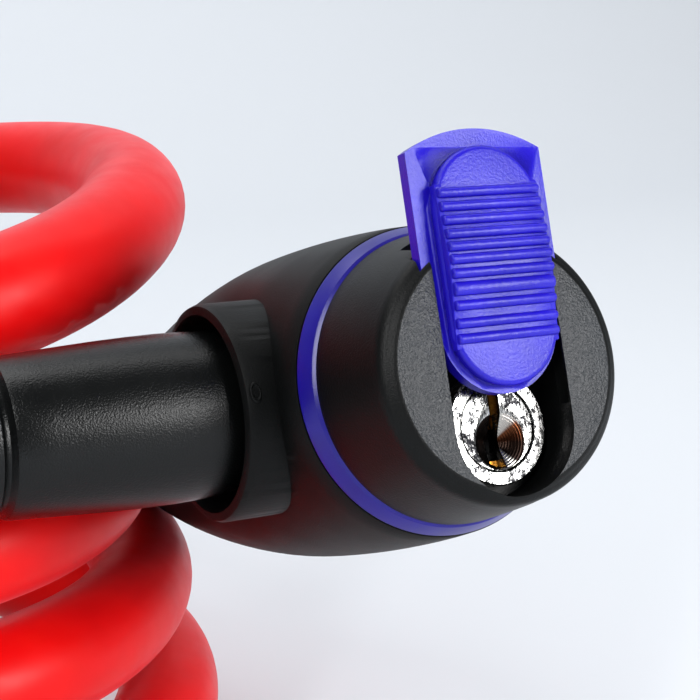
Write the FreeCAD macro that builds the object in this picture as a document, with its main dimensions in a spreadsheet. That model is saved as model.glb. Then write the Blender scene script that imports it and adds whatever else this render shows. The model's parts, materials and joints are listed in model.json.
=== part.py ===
"""Cable luggage lock: a barrel-shaped key lock on a spiral cable, as a parametric FreeCAD document.

Frame: millimetres, +Z up, the origin on the floor at the middle of the cable coil.
Head frame: origin where the barrel's axis meets the socket's axis. Forward (the key side) is -Y,
the socket is on the -X side and the dust cover slides along Z. The whole head leans nose up.
"""
import os

import FreeCAD
import Part
import Sketcher
from FreeCAD import Placement, Rotation, Vector
from math import atan2, cos, degrees, pi, radians, sin, tan

os.makedirs("parts", exist_ok=True)
doc = FreeCAD.newDocument("cable_luggage_lock")

# Driving dimensions -------------------------------------------------------------------------------

SIZES = {
    # where the head hangs, and its lean
    "head_side": 43.0,
    "head_near": 50.0,
    "head_height": 58.0,
    "head_pitch": 17.0,
    # barrel, measured forward of the socket's axis
    "ring_forward": 15.6,
    "ring_width": 2.0,
    "ring_front_radius": 13.5,
    "ring_rear_radius": 14.3,
    "lip_height": 0.35,
    "ring_chamfer": 0.25,
    "barrel_radius": 16.0,
    "barrel_widest_back": 10.0,
    "tail_back": 51.6,
    "tail_radius": 9.2,
    "taper_power": 1.7,
    "tail_seat_back": 36.0,
    "bore_radius": 13.0,
    "bore_back": 20.8,
    "throat_radius": 9.4,
    # front cap
    "rim_forward": 25.0,
    "rim_radius": 12.1,
    "rim_round": 1.2,
    "rim_crown": 0.1,
    "lip_step": 0.45,
    "cap_floor": 0.6,
    "cheek_rise": 0.6,
    "channel_half": 6.05,
    "channel_floor": 20.6,
    "slot_half": 7.1,
    "slot_floor": 23.8,
    "slot_depth": 1.45,
    "slot_bottom": 3.9,
    "spigot_radius": 12.7,
    "spigot_back": 12.0,
    "spigot_wall": 2.2,
    # socket collar
    "collar_radius": 10.4,
    "collar_reach": 17.9,
    "mouth_radius": 9.2,
    "collar_round": 0.7,
    # key cylinder
    "cylinder_drop": 5.3,
    "housing_radius": 5.0,
    "housing_face": 22.6,
    "housing_back": 8.2,
    "plug_radius": 3.75,
    "plug_recess": 0.15,
    "dish_radius": 3.0,
    "dish_depth": 0.9,
    "dish_middle": 0.5,
    "keyway_height": 7.0,
    "keyway_width": 1.2,
    "keyway_end": 1.5,
    "wafer_first": 20.4,
    "wafer_pitch": 2.6,
    "wafer_thick": 1.0,
    "wafer_wide": 4.4,
    "wafer_tall": 6.6,
    "wafer_lift": 0.7,
    "wafer_window_wide": 2.0,
    "wafer_window_tall": 4.0,
    "window_drop": 0.8,
    "wafer_code": 0.35,
    "spring_radius": 0.4,
    "spring_wire": 0.1,
    "spring_length": 1.8,
    "spring_side": 2.4,
    # cam and latch
    "cam_radius": 4.2,
    "cam_thick": 1.4,
    "stub_half": 1.5,
    "cam_pin_radius": 1.0,
    "cam_throw": 1.5,
    "cam_pin_reach": 1.8,
    "latch_half": 6.0,
    "latch_wall": 1.7,
    "latch_front": 6.4,
    "latch_top": 6.0,
    "latch_bottom": 7.4,
    "latch_plate": 2.0,
    "latch_plate_back": 6.0,
    "latch_slack": 0.45,
    "latch_slot_more": 1.2,
    "latch_travel": 1.5,
    # lock body
    "body_radius": 12.8,
    "body_front": 11.8,
    "body_back": 8.0,
    "body_step": 2.6,
    "body_step_gap": 0.5,
    "pin_end_gap": 1.5,
    "cover_thick": 1.6,
    "cover_half": 6.6,
    "cover_tall": 11.4,
    "cover_corner": 2.0,
    "cover_corner_wide": 3.4,
    "cover_screw_up": 10.2,
    "cover_screw_radius": 1.0,
    "cover_screw_length": 6.0,
    "body_screw_side": 8.4,
    "body_screw_up": 5.9,
    "body_screw_radius": 1.1,
    "body_screw_length": 26.0,
    "screw_head": 1.65,
    "screw_gap": 0.2,
    "housing_pin_radius": 0.75,
    "housing_pin_clear": 0.4,
    "pin_sunk": 1.0,
    "sleeve_wall": 0.8,
    "anchor_thick": 3.0,
    # plug end
    "pin_radius": 3.5,
    "pin_tip": 8.0,
    "pin_chamfer": 1.4,
    "pin_groove_radius": 1.95,
    "pin_groove_half": 1.25,
    "pin_shoulder": 16.0,
    "pin_stub_radius": 2.5,
    "pin_stub": 6.0,
    "seal_radius": 0.65,
    "seal_squeeze": 0.01,
    "pin_ferrule_radius": 5.2,
    "pin_ferrule_end": 36.0,
    "boot_nose": 13.4,
    "boot_max_radius": 8.0,
    "boot_max": 22.0,
    "boot_round": 2.6,
    "boot_groove": 38.6,
    "boot_groove_radius": 6.9,
    "groove_half": 0.4,
    "groove_depth": 0.3,
    "boot_end": 46.0,
    "boot_end_radius": 6.9,
    # cable
    "cable_radius": 6.0,
    "rope_radius": 3.75,
    "ferrule_radius": 6.2,
    "ferrule_length": 6.4,
    "ferrule_chamfer": 0.8,
    "grommet_seat": 37.0,
    "grommet_wall": 2.0,
    "grommet_round": 0.7,
    "coil_radius": 38.0,
    "coil_top": 45.5,
    "coil_tilt": 8.5,
    "barrel_gap": 1.0,
    # dust cover, raised
    "cover_pad_half": 5.4,
    "cover_bottom": 1.9,
    "cover_pad_length": 21.0,
    "cover_flange_half": 6.9,
    "cover_flange_top": 20.8,
    "cover_flange_from": 6.5,
    "cover_flange_thick": 1.25,
    "cover_arch": 2.3,
    "cover_shoulder": 1.2,
    "cover_tongue_half": 5.95,
    "cover_neck_half": 5.85,
    "cover_front": 26.9,
    "cover_travel": 8.8,
    "rib_pitch": 0.98,
    "rib_radius": 0.5,
    "rib_start": 0.3,
    "rib_end": 0.4,
    # clearances
    "running_fit": 0.05,
    "seat_fit": 0.03,
    "free_gap": 0.3,
}
RIB_COUNT = 11
WAFER_COUNT = 4
# a screw head's rounding and slot, as shares of its thread radius
HEAD_ROUND = 0.4
SLOT_WIDE = 0.45
SLOT_DEEP = 0.5
# how much of the shorter leg each bend of a cable may use
BEND_SHARE = 0.45

sheet = doc.addObject("Spreadsheet::Sheet", "Sizes")
for row, (alias, value) in enumerate(SIZES.items(), start=1):
    sheet.set(f"A{row}", alias)
    sheet.set(f"B{row}", str(value))
    sheet.setAlias(f"B{row}", alias)
doc.recompute()


def size(alias):
    """The sheet's value of one driving dimension."""
    return float(sheet.get(alias))


HEAD = Placement(Vector(size("head_side"), -size("head_near"), size("head_height")),
                 Rotation(Vector(-1, 0, 0), size("head_pitch")))
parts = []

# Helpers ------------------------------------------------------------------------------------------


def bound(text):
    """An expression on the sheet: each @name is one of its cells."""
    return text.replace("@", "Sizes.")


def new_body(name, placement=HEAD):
    body = doc.addObject("PartDesign::Body", name)
    body.Label = name
    body.Placement = placement
    parts.append(body)
    return body


def new_sketch(body, plane, offset="0"):
    """A sketch on the body's own XY, XZ or YZ plane, moved along that plane's normal."""
    sketch = body.newObject("Sketcher::SketchObject", f"{body.Name}_sketch")
    support = [item for item in body.Origin.OriginFeatures if item.Role == f"{plane}_Plane"][0]
    sketch.AttachmentSupport = [(support, "")]
    sketch.MapMode = "FlatFace"
    sketch.setExpression("AttachmentOffset.Base.z", bound(offset))
    return sketch


def tie(sketch, geometry, point, across, upward):
    """Hold one point of a sketch at two expressions."""
    for kind, text in (("DistanceX", across), ("DistanceY", upward)):
        index = sketch.addConstraint(Sketcher.Constraint(kind, -1, 1, geometry, point, 1.0))
        sketch.setExpression(f"Constraints[{index}]", bound(text))


def outline(sketch, corners):
    """A closed outline of straight lines, each corner a pair of expressions."""
    count = len(corners)
    spots = [Vector(cos(2 * pi * k / count), sin(2 * pi * k / count), 0) for k in range(count)]
    first = sketch.GeometryCount
    for k in range(count):
        sketch.addGeometry(Part.LineSegment(spots[k], spots[(k + 1) % count]), False)
    for k in range(count):
        sketch.addConstraint(Sketcher.Constraint("Coincident", first + k, 2, first + (k + 1) % count, 1))
    for k, (across, upward) in enumerate(corners):
        tie(sketch, first + k, 1, across, upward)


def box_outline(sketch, left, right, low, high):
    outline(sketch, [(left, low), (right, low), (right, high), (left, high)])


def circle(sketch, across, upward, radius):
    index = sketch.addGeometry(Part.Circle(Vector(1, 1, 0), Vector(0, 0, 1), 1.0), False)
    tie(sketch, index, 3, across, upward)
    number = sketch.addConstraint(Sketcher.Constraint("Radius", index, 1.0))
    sketch.setExpression(f"Constraints[{number}]", bound(radius))


def feature(kind, body, sketch, length=None, both=False, back=False):
    """Pad, Pocket, Revolution or Groove of a sketch."""
    item = body.newObject(f"PartDesign::{kind}", f"{body.Name}_{kind}")
    item.Profile = sketch
    if length is not None:
        item.setExpression("Length", bound(length))
        item.Midplane = both
        item.Reversed = back
    sketch.Visibility = False
    return item


def turned(body, sketch, axis, kind="Revolution"):
    """Turn a sketch a full circle about one of its axes or edges."""
    item = feature(kind, body, sketch)
    item.ReferenceAxis = (sketch, [axis])
    item.Angle = 360
    return item


def turned_head(name, corners):
    """A piece turned about the barrel's axis: corners are (radius, forward)."""
    body = new_body(name)
    sketch = new_sketch(body, "XY")
    outline(sketch, [(radius, f"-({forward})") for radius, forward in corners])
    turned(body, sketch, "V_Axis")
    return body


def turned_socket(name, corners):
    """A piece turned about the socket's axis: corners are (outward, radius)."""
    body = new_body(name)
    sketch = new_sketch(body, "XY")
    outline(sketch, [(f"-({outward})", radius) for outward, radius in corners])
    turned(body, sketch, "H_Axis")
    return body


def bore_forward(body, start, length, across, upward, radius):
    """A round pocket cut rearward from a plane at a forward distance."""
    sketch = new_sketch(body, "XZ", start)
    circle(sketch, across, upward, radius)
    return feature("Pocket", body, sketch, length)


def piece(name, shape, placement=HEAD):
    item = doc.addObject("Part::Feature", name)
    item.Label = name
    item.Shape = shape
    item.Placement = placement
    parts.append(item)
    return item


def rod(start, end, radius):
    """A round bar between two points."""
    line = end - start
    return Part.makeCylinder(radius, line.Length, start, line)


def forward_point(across, upward, forward):
    return Vector(across, -forward, upward)


# Barrel -------------------------------------------------------------------------------------------


def barrel_radius_at(back):
    """Outer radius of the shell: an ellipse forward of the widest place, a fuller curve behind it."""
    widest = size("barrel_widest_back")
    if back < widest:
        front = size("ring_rear_radius") + size("lip_height")
        share = (widest - back) / (widest + size("ring_forward") - size("ring_width"))
        return size("barrel_radius") - (size("barrel_radius") - front) * share ** 2
    share = (back - widest) / (size("tail_back") - widest)
    return size("barrel_radius") - (size("barrel_radius") - size("tail_radius")) * share ** size("taper_power")


def shell_blank():
    """The barrel's outside as a turned spline, with a rounded tail edge."""
    front = -(size("ring_forward") - size("ring_width"))
    stations = [front + (size("tail_back") - front) * k / 12 for k in range(13)]
    curve = Part.BSplineCurve()
    curve.interpolate([Vector(barrel_radius_at(back), back, 0) for back in stations])
    edge = curve.toShape()
    start = Vector(barrel_radius_at(front), front, 0)
    end = Vector(barrel_radius_at(size("tail_back")), size("tail_back"), 0)
    closing = Part.makePolygon([end, Vector(0, end.y, 0), Vector(0, start.y, 0), start])
    wire = Part.Wire([edge] + closing.Edges)
    solid = Part.Face(wire).revolve(Vector(), Vector(0, 1, 0), 360)
    return solid if solid.Volume > 0 else solid.reversed()


def rear_shell():
    """Black barrel with the socket collar standing out of its side."""
    blank = shell_blank()
    front = size("ring_forward") - size("ring_width")
    collar = rod(Vector(), Vector(-size("collar_reach"), 0, 0), size("collar_radius"))
    mouth_edges = [edge for edge in collar.Edges
                   if abs(edge.BoundBox.XMax + size("collar_reach")) < 0.01]
    collar = collar.makeFillet(size("collar_round"), mouth_edges)
    shell = blank.fuse(collar)
    bore = rod(forward_point(0, 0, front + 1), forward_point(0, 0, -size("bore_back")), size("bore_radius"))
    throat = rod(Vector(), forward_point(0, 0, -size("grommet_seat")), size("throat_radius"))
    seat_radius = size("cable_radius") + size("grommet_wall")
    seat = rod(Vector(), forward_point(0, 0, -size("tail_back") - 1), seat_radius)
    mouth = rod(Vector(), Vector(-size("collar_reach") - 1, 0, 0), size("mouth_radius"))
    for tool in (bore, throat, seat, mouth):
        shell = shell.cut(tool)
    return piece("rear_shell", shell.removeSplitter())


rear_shell()

turned_head("accent_ring", [
    ("@spigot_radius + @seat_fit", "@ring_forward"),
    ("@ring_front_radius - @ring_chamfer", "@ring_forward"),
    ("@ring_front_radius", "@ring_forward - @ring_chamfer"),
    ("@ring_rear_radius", "@ring_forward - @ring_width"),
    ("@spigot_radius + @seat_fit", "@ring_forward - @ring_width"),
])

# Front cap ----------------------------------------------------------------------------------------


def front_cap():
    """Black nose with two cheeks, the U channel between them and the slots that guide the cover."""
    cap = turned_head("front_cap", [
        ("0", "@rim_forward + @cheek_rise"),
        ("@channel_half", "@rim_forward + @cheek_rise"),
        ("@rim_radius - @rim_round", "@rim_forward + @rim_crown"),
        ("@rim_radius - @rim_round / 3", "@rim_forward - @rim_round / 4"),
        ("@rim_radius", "@rim_forward - @rim_round"),
        ("@ring_front_radius - @lip_step", "@ring_forward + @lip_step * 3"),
        ("@ring_front_radius + @lip_height / 2", "@ring_forward + @lip_step * 2"),
        ("@ring_front_radius + @lip_height / 2", "@ring_forward"),
        ("@spigot_radius", "@ring_forward"),
        ("@spigot_radius", "@spigot_back"),
        ("@spigot_radius - @spigot_wall", "@spigot_back"),
        ("@spigot_radius - @spigot_wall", "@ring_forward + @cap_floor"),
        ("0", "@ring_forward + @cap_floor"),
    ])
    channel = new_sketch(cap, "XZ", "@channel_floor")
    box_outline(channel, "-@channel_half", "@channel_half", "-@cylinder_drop", "@barrel_radius")
    feature("Pocket", cap, channel, "@barrel_radius", back=True)
    foot = new_sketch(cap, "XZ", "@channel_floor")
    circle(foot, "0", "-@cylinder_drop", "@channel_half")
    feature("Pocket", cap, foot, "@barrel_radius", back=True)
    slots = new_sketch(cap, "XZ", "@slot_floor")
    box_outline(slots, "-@slot_half", "@slot_half", "-@slot_bottom", "@barrel_radius")
    feature("Pocket", cap, slots, "@slot_depth", back=True)
    seat = "@housing_radius + @seat_fit"
    bore_forward(cap, "@channel_floor + @running_fit", "@barrel_radius", "0", "-@cylinder_drop", seat)
    holes = new_sketch(cap, "XZ", "@body_screw_length - @body_back + @screw_gap")
    for side in ("-", ""):
        circle(holes, f"{side}@body_screw_side", "@body_screw_up", "@body_screw_radius")
    feature("Pocket", cap, holes, "@barrel_radius")
    return cap


front_cap()

# Dust cover, raised -------------------------------------------------------------------------------


def dust_cover():
    """Sliding cover: a flange in the cap's slots, a neck in the channel and a ribbed pad outside."""
    cover = new_body("dust_cover")
    flange = new_sketch(cover, "XZ", "@slot_floor + @running_fit * 2")
    corner = "@cover_flange_top - @cover_arch"
    outline(flange, [
        ("-@cover_flange_half", "@cover_flange_from"),
        ("-@cover_tongue_half", "@cover_flange_from - @cover_shoulder"),
        ("-@cover_tongue_half", "@cover_travel - @cylinder_drop"),
        ("-@cover_tongue_half * 0.8", "@cover_travel - @cylinder_drop - @cover_tongue_half * 0.6"),
        ("-@cover_tongue_half * 0.5", "@cover_travel - @cylinder_drop - @cover_tongue_half * 0.86"),
        ("0", "@cover_travel - @cylinder_drop - @cover_tongue_half"),
        ("@cover_tongue_half * 0.5", "@cover_travel - @cylinder_drop - @cover_tongue_half * 0.86"),
        ("@cover_tongue_half * 0.8", "@cover_travel - @cylinder_drop - @cover_tongue_half * 0.6"),
        ("@cover_tongue_half", "@cover_travel - @cylinder_drop"),
        ("@cover_tongue_half", "@cover_flange_from - @cover_shoulder"),
        ("@cover_flange_half", "@cover_flange_from"),
        ("@cover_flange_half", corner),
        ("@cover_flange_half * 2 / 3", "@cover_flange_top - @cover_arch * 4 / 9"),
        ("@cover_flange_half / 3", "@cover_flange_top - @cover_arch / 9"),
        ("0", "@cover_flange_top"),
        ("-@cover_flange_half / 3", "@cover_flange_top - @cover_arch / 9"),
        ("-@cover_flange_half * 2 / 3", "@cover_flange_top - @cover_arch * 4 / 9"),
        ("-@cover_flange_half", corner),
    ])
    feature("Pad", cover, flange, "@cover_flange_thick")
    low = "@cover_pad_half - @cover_bottom"
    high = "@cover_pad_length - @cover_bottom - @cover_pad_half"
    depth = "@cover_front - @slot_floor - @running_fit * 2"
    pad = new_sketch(cover, "XZ", "@slot_floor + @running_fit * 2")
    box_outline(pad, "-@cover_pad_half", "@cover_pad_half", low, high)
    feature("Pad", cover, pad, depth)
    for height in (low, high):
        end = new_sketch(cover, "XZ", "@slot_floor + @running_fit * 2")
        circle(end, "0", height, "@cover_pad_half")
        feature("Pad", cover, end, depth)
    rib = new_sketch(cover, "YZ")
    circle(rib, "-@cover_front", f"{low} + @rib_start", "@rib_radius")
    feature("Pad", cover, rib, "(@cover_pad_half - @rib_end) * 2", both=True)
    pattern = cover.newObject("PartDesign::LinearPattern", "dust_cover_ribs")
    pattern.Originals = [cover.Tip]
    pattern.Direction = (rib, ["V_Axis"])
    pattern.Occurrences = RIB_COUNT
    pattern.setExpression("Length", bound(f"@rib_pitch * {RIB_COUNT - 1}"))
    cover.Tip = pattern
    return cover


dust_cover()

# Key cylinder -------------------------------------------------------------------------------------


def cylinder_housing():
    """Chromed housing: bore for the plug and the four slots that the wafers drop into."""
    housing = new_body("cylinder_housing")
    wall = new_sketch(housing, "XZ", "@housing_back")
    circle(wall, "0", "-@cylinder_drop", "@housing_radius")
    feature("Pad", housing, wall, "@housing_face - @housing_back")
    fit = "@plug_radius + @running_fit"
    bore_forward(housing, "@housing_face + 1", "@barrel_radius * 2", "0", "-@cylinder_drop", fit)
    reach = "@wafer_tall / 2 + @wafer_lift + @free_gap"
    for half_wide, half_tall in (("@wafer_wide / 2 + @running_fit", reach), (reach, "@wafer_wide / 2 + @running_fit")):
        slot = new_sketch(housing, "XZ", "@wafer_first + @wafer_thick")
        box_outline(slot, f"-({half_wide})", half_wide, f"-@cylinder_drop - ({half_tall})",
                    f"-@cylinder_drop + {half_tall}")
        feature("Pocket", housing, slot, f"@wafer_pitch * {WAFER_COUNT - 1} + @wafer_thick * 2")
    pin_hole = new_sketch(housing, "XY", "-@cylinder_drop - @plug_radius - @housing_pin_clear")
    circle(pin_hole, "0", "-(@housing_back + @body_front) / 2", "@housing_pin_radius")
    feature("Pocket", housing, pin_hole, "@housing_radius")
    return housing


def key_plug():
    """Turning plug: a dished face, the keyway, four wafer slots and a square stub for the cam."""
    plug = new_body("key_plug")
    core = new_sketch(plug, "XZ", "@housing_back")
    circle(core, "0", "-@cylinder_drop", "@plug_radius")
    feature("Pad", plug, core, "@housing_face - @plug_recess - @housing_back")
    stub = new_sketch(plug, "XZ", "@housing_back")
    box_outline(stub, "-@stub_half", "@stub_half", "-@cylinder_drop - @stub_half", "-@cylinder_drop + @stub_half")
    feature("Pad", plug, stub, "@cam_thick", back=True)
    keyway = new_sketch(plug, "XZ", "@housing_face")
    box_outline(keyway, "-@keyway_width / 2", "@keyway_width / 2",
                "-@cylinder_drop - @keyway_height / 2", "-@cylinder_drop + @keyway_height / 2")
    feature("Pocket", plug, keyway, "@housing_face - @housing_back - @keyway_end")
    for k in range(WAFER_COUNT):
        slot = new_sketch(plug, "XZ", f"@wafer_first - @wafer_pitch * {k} + @wafer_thick / 2 + @running_fit")
        box_outline(slot, "-@wafer_wide / 2 - @running_fit", "@wafer_wide / 2 + @running_fit",
                    "-@cylinder_drop - @plug_radius", "-@cylinder_drop + @plug_radius")
        feature("Pocket", plug, slot, "@wafer_thick + @running_fit * 2")
    pockets = new_sketch(plug, "XY", "@spring_length / 2 + @running_fit - @cylinder_drop")
    for k in range(WAFER_COUNT):
        circle(pockets, "-@spring_side", f"-@wafer_first + @wafer_pitch * {k + 0.5}",
               "@spring_radius + @spring_wire + @running_fit")
    feature("Pocket", plug, pockets, "@plug_radius * 2")
    face = "-@housing_face + @plug_recess"
    dish = new_sketch(plug, "YZ")
    outline(dish, [
        (f"{face} + @dish_depth", "-@cylinder_drop"),
        (f"{face} - @running_fit", "-@cylinder_drop"),
        (f"{face} - @running_fit", "-@cylinder_drop + @dish_radius"),
        (f"{face} + @dish_depth", "-@cylinder_drop + @dish_middle"),
    ])
    turned(plug, dish, "Edge1", "Groove")
    return plug


def wafers():
    """Brass wafers, each with a window for the key, standing inside the plug's outline at rest."""
    wide, tall = size("wafer_wide"), size("wafer_tall")
    window_wide, window_tall = size("wafer_window_wide"), size("wafer_window_tall")
    for k in range(WAFER_COUNT):
        forward = size("wafer_first") - k * size("wafer_pitch")
        rear = -forward - size("wafer_thick") / 2
        drop = -size("cylinder_drop")
        plate = Part.makeBox(wide, size("wafer_thick"), tall, Vector(-wide / 2, rear, drop - tall / 2))
        rise = size("wafer_code") * (k % 2)
        corner = Vector(-window_wide / 2, rear - 1, drop - window_tall / 2 - size("window_drop") + rise)
        window = Part.makeBox(window_wide, size("wafer_thick") + 2, window_tall, corner)
        reach = size("plug_radius") - size("running_fit")
        limit = rod(forward_point(0, drop, forward + 2), forward_point(0, drop, forward - 2), reach)
        piece(f"wafer_{k + 1}", plate.cut(window).common(limit))


def wafer_springs():
    """Small coils that push the wafers down, one beside each wafer."""
    springs = []
    radius, wire, length = size("spring_radius"), size("spring_wire"), size("spring_length")
    for k in range(WAFER_COUNT):
        forward = size("wafer_first") - (k + 0.5) * size("wafer_pitch")
        helix = Part.makeHelix(length / 4, length - wire * 2, radius)
        section = Part.Wire(Part.makeCircle(wire, Vector(radius, 0, 0), Vector(0, 1, 0)))
        coil = Part.Wire(helix).makePipeShell([section], True, True)
        low = wire - size("cylinder_drop") - length / 2
        coil.translate(forward_point(-size("spring_side"), low, forward))
        springs.append(coil)
    piece("wafer_springs", Part.makeCompound(springs))


cylinder_housing()
key_plug()
wafers()
wafer_springs()

# Cam and latch ------------------------------------------------------------------------------------


def plug_cam():
    """Disc riveted on the plug's stub, with the eccentric pin that lifts the latch."""
    cam = new_body("plug_cam")
    disc = new_sketch(cam, "XZ", "@housing_back - @cam_thick")
    circle(disc, "0", "-@cylinder_drop", "@cam_radius")
    feature("Pad", cam, disc, "@cam_thick - @running_fit")
    socket = new_sketch(cam, "XZ", "@housing_back")
    box_outline(socket, "-@stub_half", "@stub_half", "-@cylinder_drop - @stub_half", "-@cylinder_drop + @stub_half")
    feature("Pocket", cam, socket, "@cam_thick * 2")
    pin = new_sketch(cam, "XZ", "@housing_back - @cam_thick")
    circle(pin, "-@cam_throw", "-@cylinder_drop", "@cam_pin_radius")
    feature("Pad", cam, pin, "@cam_pin_reach", back=True)
    return cam


def latch():
    """Plate with a round hole for the locking pin, and a wall with a slot for the cam's pin."""
    body = new_body("latch")
    wall = new_sketch(body, "XZ", "@latch_front - @latch_wall")
    box_outline(wall, "-@latch_half", "@latch_half", "-@latch_bottom", "@latch_top")
    feature("Pad", body, wall, "@latch_wall")
    plate = new_sketch(body, "YZ")
    box_outline(plate, "-@latch_front + @latch_wall / 2", "@latch_plate_back", "-@latch_bottom", "@latch_top")
    feature("Pad", body, plate, "@latch_plate", both=True)
    hole = new_sketch(body, "YZ")
    circle(hole, "0", "0", "@pin_radius + @running_fit * 3")
    feature("Pocket", body, hole, "@latch_plate * 2", both=True)
    slot = new_sketch(body, "XZ", "@latch_front + 1")
    half = "@cam_throw + @cam_pin_radius + @latch_slack"
    rise = "@cam_pin_radius + @latch_slack"
    box_outline(slot, f"-({half})", half, f"-@cylinder_drop - ({rise})", f"-@cylinder_drop + {rise}")
    feature("Pocket", body, slot, "@latch_wall + @latch_slot_more")
    return body


plug_cam()
latch()

# Lock body ----------------------------------------------------------------------------------------


def lock_body():
    """Zinc block: cylinder seat at the front, latch pocket at the back, socket bore from the side."""
    block = turned_head("lock_body", [
        ("0", "@body_front"),
        ("@body_radius - @body_step", "@body_front"),
        ("@body_radius - @body_step", "@spigot_back - @free_gap - @body_step_gap"),
        ("@body_radius", "@spigot_back - @free_gap - @body_step_gap"),
        ("@body_radius", "-@body_back"),
        ("0", "-@body_back"),
    ])
    seat = "@housing_radius + @seat_fit"
    bore_forward(block, "@body_front + 1", "@body_front + 1 - @housing_back", "0", "-@cylinder_drop", seat)
    cam_room = "@cam_radius + @free_gap"
    bore_forward(block, "@body_front + 1", "@body_front + 1 - @latch_front", "0", "-@cylinder_drop", cam_room)
    pocket = new_sketch(block, "XZ", "@latch_front + @running_fit * 2")
    box_outline(pocket, "-@latch_half - @running_fit", "@latch_half + @running_fit",
                "-@latch_bottom - @free_gap", "@latch_top + @latch_travel + @free_gap")
    feature("Pocket", block, pocket, "@barrel_radius * 2")
    bore = new_sketch(block, "YZ", "-@body_radius - 1")
    circle(bore, "0", "0", "@pin_radius + @running_fit")
    feature("Pocket", block, bore, "@body_radius + @pin_tip + @pin_end_gap", back=True)
    gland = new_sketch(block, "YZ", "-@body_radius - 1")
    circle(gland, "0", "0", "@pin_radius + @running_fit + @seal_radius * 2")
    feature("Pocket", block, gland, "1 + @seal_radius * 2 + @free_gap", back=True)
    screws = new_sketch(block, "XZ", "@body_front + 1")
    for side in ("-", ""):
        circle(screws, f"{side}@body_screw_side", "@body_screw_up", "@body_screw_radius")
    feature("Pocket", block, screws, "@barrel_radius * 2")
    threads = new_sketch(block, "XZ", "@cover_screw_length - @cover_thick - @body_back")
    for side in ("-", ""):
        circle(threads, "0", f"{side}@cover_screw_up", "@cover_screw_radius")
    feature("Pocket", block, threads, "@barrel_radius * 2")
    pin_hole = new_sketch(block, "XY", "-@cylinder_drop")
    circle(pin_hole, "0", "-(@housing_back + @body_front) / 2", "@housing_pin_radius")
    feature("Pocket", block, pin_hole, "@barrel_radius")
    return block


def latch_cover():
    """Plate over the latch pocket."""
    plate = new_body("latch_cover")
    face = new_sketch(plate, "XZ", "-@body_back - @cover_thick")
    side, shoulder, end = "@cover_half", "@cover_tall - @cover_corner", "@cover_half - @cover_corner_wide"
    outline(face, [
        (side, f"-({shoulder})"), (side, shoulder), (end, "@cover_tall"), (f"-({end})", "@cover_tall"),
        (f"-{side}", shoulder), (f"-{side}", f"-({shoulder})"), (f"-({end})", "-@cover_tall"),
        (end, "-@cover_tall"),
    ])
    feature("Pad", plate, face, "@cover_thick")
    holes = new_sketch(plate, "XZ", "-@body_back")
    for side in ("-", ""):
        circle(holes, "0", f"{side}@cover_screw_up", "@cover_screw_radius")
    feature("Pocket", plate, holes, "@cover_thick * 2")
    return plate


def screw(across, upward, head_back, length, radius):
    """A pan head screw whose head seats at a distance behind the socket's axis."""
    seat = forward_point(across, upward, -head_back)
    shank = rod(seat, forward_point(across, upward, length - head_back), radius)
    head_end = forward_point(across, upward, -head_back - radius)
    head = rod(seat, head_end, size("screw_head"))
    rim = [edge for edge in head.Edges if abs(edge.BoundBox.YMin - head_end.y) < 0.01]
    head = head.makeFillet(radius * HEAD_ROUND, rim)
    slot_wide, slot_deep = radius * SLOT_WIDE, radius * SLOT_DEEP
    corner = head_end + Vector(-slot_wide / 2, -slot_deep, -radius * 3)
    slot = Part.makeBox(slot_wide, slot_deep * 2, radius * 6, corner)
    return shank.fuse(head).cut(slot)


lock_body()
latch_cover()
piece("cover_screws", Part.makeCompound([
    screw(0, side * size("cover_screw_up"), size("body_back") + size("cover_thick"),
          size("cover_screw_length") - size("screw_gap"), size("cover_screw_radius")) for side in (-1, 1)]))
piece("body_screws", Part.makeCompound([
    screw(side * size("body_screw_side"), size("body_screw_up"), size("body_back"),
          size("body_screw_length"), size("body_screw_radius")) for side in (-1, 1)]))
pin_forward = (size("housing_back") + size("body_front")) / 2
piece("housing_pin", rod(forward_point(0, -size("body_radius") + size("pin_sunk"), pin_forward),
                         forward_point(0, -size("cylinder_drop") - size("plug_radius") - size("housing_pin_clear") - 0.1, pin_forward),
                         size("housing_pin_radius")))

turned_head("spacer_sleeve", [
    ("@body_radius - @sleeve_wall", "-@body_back"),
    ("@body_radius", "-@body_back"),
    ("@body_radius", "-(@bore_back - @anchor_thick)"),
    ("@body_radius - @sleeve_wall", "-(@bore_back - @anchor_thick)"),
])
rope_hole = "@rope_radius + @seat_fit"
turned_head("anchor_plate", [
    (rope_hole, "-(@bore_back - @anchor_thick)"),
    ("@body_radius", "-(@bore_back - @anchor_thick)"),
    ("@body_radius", "-@bore_back"),
    (rope_hole, "-@bore_back"),
])
turned_head("tail_ferrule", [
    (rope_hole, "-(@bore_back - @anchor_thick - @ferrule_length)"),
    ("@ferrule_radius - @ferrule_chamfer", "-(@bore_back - @anchor_thick - @ferrule_length)"),
    ("@ferrule_radius", "-(@bore_back - @anchor_thick - @ferrule_length + @ferrule_chamfer)"),
    ("@ferrule_radius", "-(@bore_back - @anchor_thick)"),
    (rope_hole, "-(@bore_back - @anchor_thick)"),
])
turned_head("rope_tail_end", [
    ("0", "-(@bore_back - @anchor_thick - @ferrule_length)"),
    ("@rope_radius", "-(@bore_back - @anchor_thick - @ferrule_length)"),
    ("@rope_radius", "-@grommet_seat"),
    ("0", "-@grommet_seat"),
])
turned_head("tail_grommet", [
    ("@cable_radius + @seat_fit", "-@grommet_seat"),
    ("@cable_radius + @grommet_wall - @seat_fit", "-@grommet_seat"),
    ("@cable_radius + @grommet_wall - @seat_fit", "-@tail_back - @grommet_round"),
    ("@cable_radius + @grommet_wall - @grommet_round", "-@tail_back - @grommet_round * 2"),
    ("@cable_radius + @seat_fit", "-@tail_back - @grommet_round * 2"),
])


# Plug end -----------------------------------------------------------------------------------------


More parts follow.
